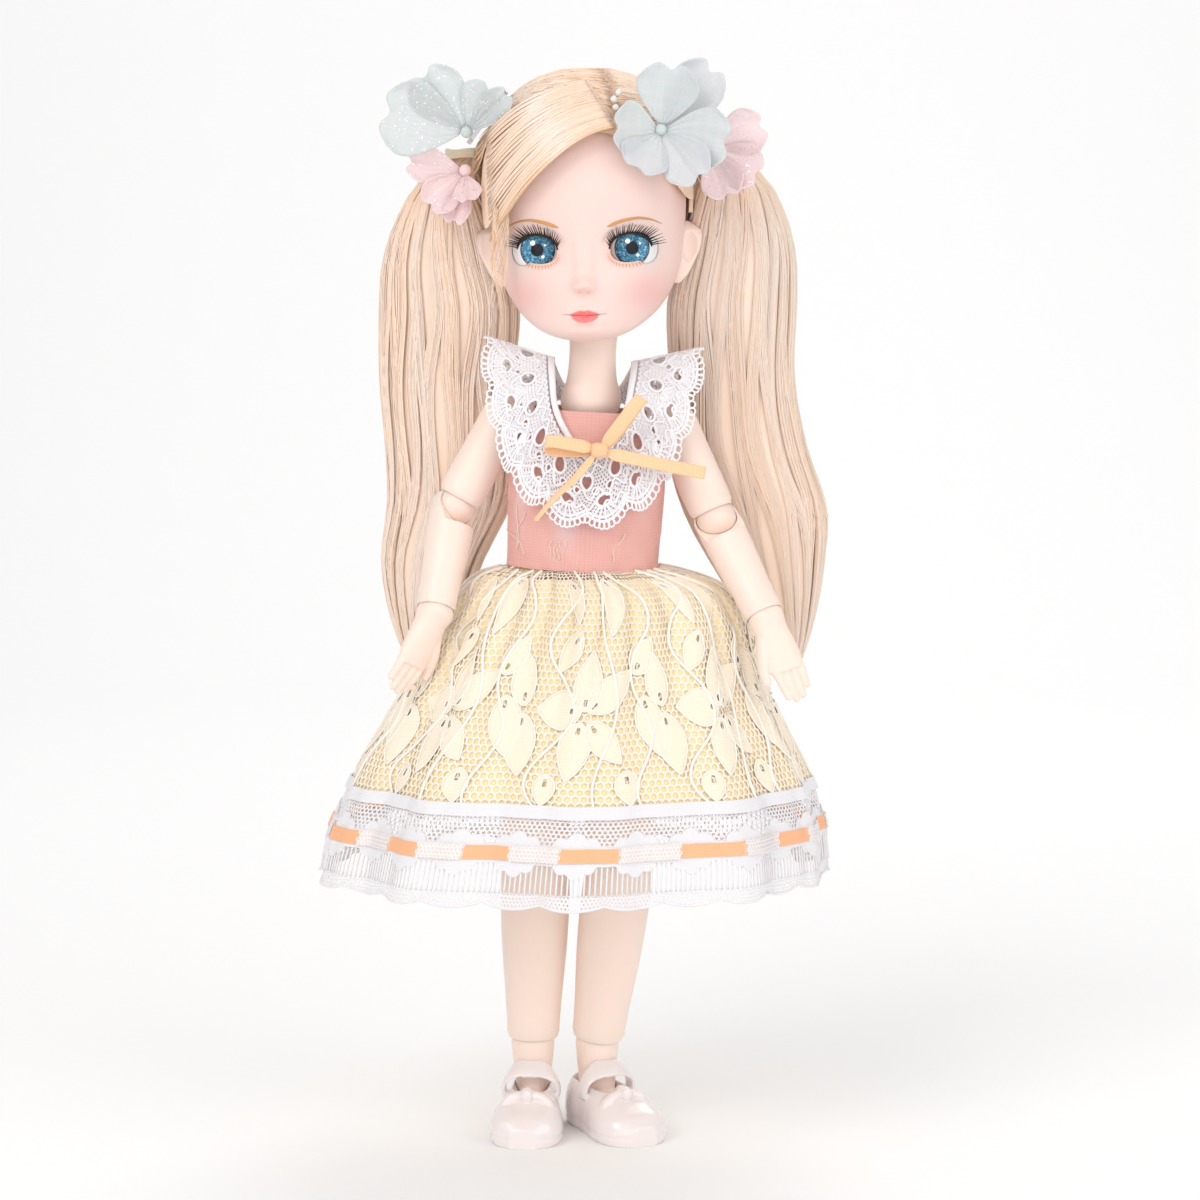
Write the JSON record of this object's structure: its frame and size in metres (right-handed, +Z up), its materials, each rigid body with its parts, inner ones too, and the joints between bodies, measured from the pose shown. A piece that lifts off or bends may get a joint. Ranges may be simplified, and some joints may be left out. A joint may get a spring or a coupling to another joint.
{
  "type": "fashion doll",
  "caption": "Jointed plastic fashion doll with ball joints, long blond bunches, organza hair flowers and a lace dress.",
  "frame": {"origin": "on the floor under the middle of the skirt, between the doll's feet", "axes": "+Z up, -Y the way the doll faces, +X towards the doll's left hand"},
  "size_m": [0.1418, 0.1127, 0.3007],
  "materials": {
    "skin": "smooth matte vinyl-like plastic, pale peach",
    "skin_face": "smooth matte plastic with painted blush, brows and lips",
    "joint": "smooth moulded plastic",
    "eye": "clear gloss dome over a glittery blue iris",
    "lash": "black synthetic fibre",
    "hair": "straight pale blond synthetic fibre",
    "elastic": "small cream elastic band",
    "organza_mint": "stiff mint organza with glitter",
    "organza_pink": "stiff pink organza with glitter",
    "steel": "plated hair clip",
    "shoe": "glossy pearl white moulded plastic",
    "bodice": "dusty pink woven cloth",
    "lace_white": "white corded lace",
    "lace_cream": "cream lace net with leaf motifs",
    "lining": "plain yellow lining cloth",
    "ribbon": "peach satin ribbon"
  },
  "bodies": {
    "pelvis": {"pelvis_front": "skin", "pelvis_back": "skin", "skirt_lining": "lining", "skirt_lace": "lace_cream", "hem_lace": "lace_white", "hem_ribbon": "ribbon"},
    "waist_ball": {"waist_joint": "joint"},
    "chest": {"chest_front": "skin", "chest_back": "skin", "bodice": "bodice", "lace_collar": "lace_white", "ribbon_bow": "ribbon"},
    "neck": {"neck": "skin"},
    "neck_ball": {"neck_joint": "joint"},
    "head": {"face_shell": "skin_face", "head_back_cap": "skin_face", "wig_cap": "hair", "fringe": "hair", "eye_right": "eye", "eye_left": "eye", "eyelash_right": "lash", "eyelash_left": "lash", "bunch_right": "hair", "bunch_left": "hair", "hair_tie_right": "elastic", "hair_tie_left": "elastic", "flower_mint_right": "organza_mint", "flower_mint_left": "organza_mint", "flower_pink_right": "organza_pink", "flower_pink_left": "organza_pink", "hair_clip_right": "steel", "hair_clip_left": "steel"},
    "shoulder_stem_right": {"shoulder_joint_right": "joint"},
    "upper_arm_right": {"upper_arm_right": "skin"},
    "elbow_ball_right": {"elbow_joint_right": "joint"},
    "forearm_right": {"forearm_right": "skin"},
    "wrist_ball_right": {"wrist_joint_right": "joint"},
    "hand_right": {"hand_right": "skin"},
    "hip_stem_right": {"hip_joint_right": "joint"},
    "thigh_right": {"thigh_right": "skin"},
    "knee_ball_right": {"knee_joint_right": "joint"},
    "shin_right": {"shin_right": "skin"},
    "ankle_ball_right": {"ankle_joint_right": "joint"},
    "foot_right": {"foot_right": "skin", "shoe_right": "shoe"},
    "shoulder_stem_left": {"shoulder_joint_left": "joint"},
    "upper_arm_left": {"upper_arm_left": "skin"},
    "elbow_ball_left": {"elbow_joint_left": "joint"},
    "forearm_left": {"forearm_left": "skin"},
    "wrist_ball_left": {"wrist_joint_left": "joint"},
    "hand_left": {"hand_left": "skin"},
    "hip_stem_left": {"hip_joint_left": "joint"},
    "thigh_left": {"thigh_left": "skin"},
    "knee_ball_left": {"knee_joint_left": "joint"},
    "shin_left": {"shin_left": "skin"},
    "ankle_ball_left": {"ankle_joint_left": "joint"},
    "foot_left": {"foot_left": "skin", "shoe_left": "shoe"}
  },
  "joints": [
    {"name": "waist_bend", "type": "hinge", "parent": "pelvis", "child": "waist_ball", "pos_m": [0.00286, 0, 0.15906], "axis": [0.9986, 0, -0.0523], "range_deg": [-15, 25], "deforming": ["bodice", "lace_collar", "ribbon_bow"]},
    {"name": "waist_turn", "type": "hinge", "parent": "waist_ball", "child": "chest", "pos_m": [0.00286, 0, 0.15906], "axis": [0.0523, 0, 0.9986], "range_deg": [-30, 30]},
    {"name": "neck_tilt", "type": "hinge", "parent": "chest", "child": "neck", "pos_m": [0.00532, 0.001, 0.206], "axis": [0, 1, 0], "range_deg": [-12, 12]},
    {"name": "head_turn", "type": "hinge", "parent": "neck", "child": "neck_ball", "pos_m": [0.0062, 0.003, 0.229], "axis": [0.0381, 0.0866, 0.9955], "range_deg": [-60, 60], "deforming": ["bunch_right", "bunch_left"]},
    {"name": "head_nod", "type": "hinge", "parent": "neck_ball", "child": "head", "pos_m": [0.0062, 0.003, 0.229], "axis": [0.9984, -0.0523, 0.0227], "range_deg": [-15, 15]},
    {"name": "shoulder_swing_right", "type": "hinge", "parent": "chest", "child": "shoulder_stem_right", "pos_m": [-0.01879, 0, 0.20066], "axis": [-0.9986, 0, 0.0523], "range_deg": [-45, 100]},
    {"name": "shoulder_lift_right", "type": "hinge", "parent": "shoulder_stem_right", "child": "upper_arm_right", "pos_m": [-0.01879, 0, 0.20066], "axis": [-0.0079, 0.9886, -0.1504], "range_deg": [0, 60]},
    {"name": "elbow_turn_right", "type": "hinge", "parent": "upper_arm_right", "child": "elbow_ball_right", "pos_m": [-0.03239, -0.00379, 0.17647], "axis": [0.4855, 0.1352, 0.8637], "range_deg": [-60, 60]},
    {"name": "elbow_bend_right", "type": "hinge", "parent": "elbow_ball_right", "child": "forearm_right", "pos_m": [-0.03239, -0.00379, 0.17647], "axis": [-0.6203, -0.6429, 0.4494], "range_deg": [-30, 55]},
    {"name": "wrist_turn_right", "type": "hinge", "parent": "forearm_right", "child": "wrist_ball_right", "pos_m": [-0.0374, -0.0185, 0.1485], "axis": [0.1566, 0.4598, 0.8741], "range_deg": [-80, 80]},
    {"name": "wrist_bend_right", "type": "hinge", "parent": "wrist_ball_right", "child": "hand_right", "pos_m": [-0.0374, -0.0185, 0.1485], "axis": [-0.6724, -0.5986, 0.4354], "range_deg": [-20, 60]},
    {"name": "hip_swing_right", "type": "hinge", "parent": "pelvis", "child": "hip_stem_right", "pos_m": [-0.00979, 0, 0.13369], "axis": [-0.9986, 0, 0.0523], "range_deg": [-15, 75], "deforming": ["skirt_lining", "skirt_lace", "hem_lace", "hem_ribbon"]},
    {"name": "hip_spread_right", "type": "hinge", "parent": "hip_stem_right", "child": "thigh_right", "pos_m": [-0.00979, 0, 0.13369], "axis": [0.0002, 1, 0.0042], "range_deg": [0, 25]},
    {"name": "knee_turn_right", "type": "hinge", "parent": "thigh_right", "child": "knee_ball_right", "pos_m": [-0.01006, 0.00023, 0.07879], "axis": [0.0051, -0.0041, 1], "range_deg": [-10, 15]},
    {"name": "knee_bend_right", "type": "hinge", "parent": "knee_ball_right", "child": "shin_right", "pos_m": [-0.01006, 0.00023, 0.07879], "axis": [0.9701, 0.2428, -0.0039], "range_deg": [0, 70]},
    {"name": "ankle_turn_right", "type": "hinge", "parent": "shin_right", "child": "ankle_ball_right", "pos_m": [-0.0111, 0.0035, 0.024], "axis": [-0.0189, 0.0596, -0.998], "range_deg": [-5, 10]},
    {"name": "ankle_bend_right", "type": "hinge", "parent": "ankle_ball_right", "child": "foot_right", "pos_m": [-0.0111, 0.0035, 0.024], "axis": [0.9962, -0.0872, 0], "range_deg": [-20, 20]},
    {"name": "shoulder_swing_left", "type": "hinge", "parent": "chest", "child": "shoulder_stem_left", "pos_m": [0.02874, 0, 0.19816], "axis": [-0.9986, 0, 0.0523], "range_deg": [-45, 100]},
    {"name": "shoulder_lift_left", "type": "hinge", "parent": "shoulder_stem_left", "child": "upper_arm_left", "pos_m": [0.02874, 0, 0.19816], "axis": [0.0118, -0.9744, 0.2247], "range_deg": [0, 60]},
    {"name": "elbow_turn_left", "type": "hinge", "parent": "upper_arm_left", "child": "elbow_ball_left", "pos_m": [0.03986, -0.00565, 0.17309], "axis": [0.3972, -0.2017, -0.8953], "range_deg": [-60, 60]},
    {"name": "elbow_bend_left", "type": "hinge", "parent": "elbow_ball_left", "child": "forearm_left", "pos_m": [0.03986, -0.00565, 0.17309], "axis": [-0.9079, -0.2289, -0.3512], "range_deg": [-15, 70]},
    {"name": "wrist_turn_left", "type": "hinge", "parent": "forearm_left", "child": "wrist_ball_left", "pos_m": [0.0532, -0.0185, 0.147], "axis": [0.4167, -0.4017, -0.8155], "range_deg": [-80, 80]},
    {"name": "wrist_bend_left", "type": "hinge", "parent": "wrist_ball_left", "child": "hand_left", "pos_m": [0.0532, -0.0185, 0.147], "axis": [-0.8981, -0.3204, -0.3012], "range_deg": [-30, 55]},
    {"name": "hip_swing_left", "type": "hinge", "parent": "pelvis", "child": "hip_stem_left", "pos_m": [0.01278, 0, 0.13251], "axis": [-0.9986, 0, 0.0523], "range_deg": [-15, 75]},
    {"name": "hip_spread_left", "type": "hinge", "parent": "hip_stem_left", "child": "thigh_left", "pos_m": [0.01278, 0, 0.13251], "axis": [0.0048, -0.9958, 0.0916], "range_deg": [0, 25]},
    {"name": "knee_turn_left", "type": "hinge", "parent": "thigh_left", "child": "knee_ball_left", "pos_m": [0.0135, -0.00502, 0.07784], "axis": [0.013, -0.0915, -0.9957], "range_deg": [-5, 15]},
    {"name": "knee_bend_left", "type": "hinge", "parent": "knee_ball_left", "child": "shin_left", "pos_m": [0.0135, -0.00502, 0.07784], "axis": [0.993, 0.0185, -0.1169], "range_deg": [0, 70]},
    {"name": "ankle_turn_left", "type": "hinge", "parent": "shin_left", "child": "ankle_ball_left", "pos_m": [0.007, 0.0035, 0.024], "axis": [0.1183, -0.1553, 0.9808], "range_deg": [-5, 10]},
    {"name": "ankle_bend_left", "type": "hinge", "parent": "ankle_ball_left", "child": "foot_left", "pos_m": [0.007, 0.0035, 0.024], "axis": [0.8829, 0.4695, 0], "range_deg": [-20, 20]}
  ]
}
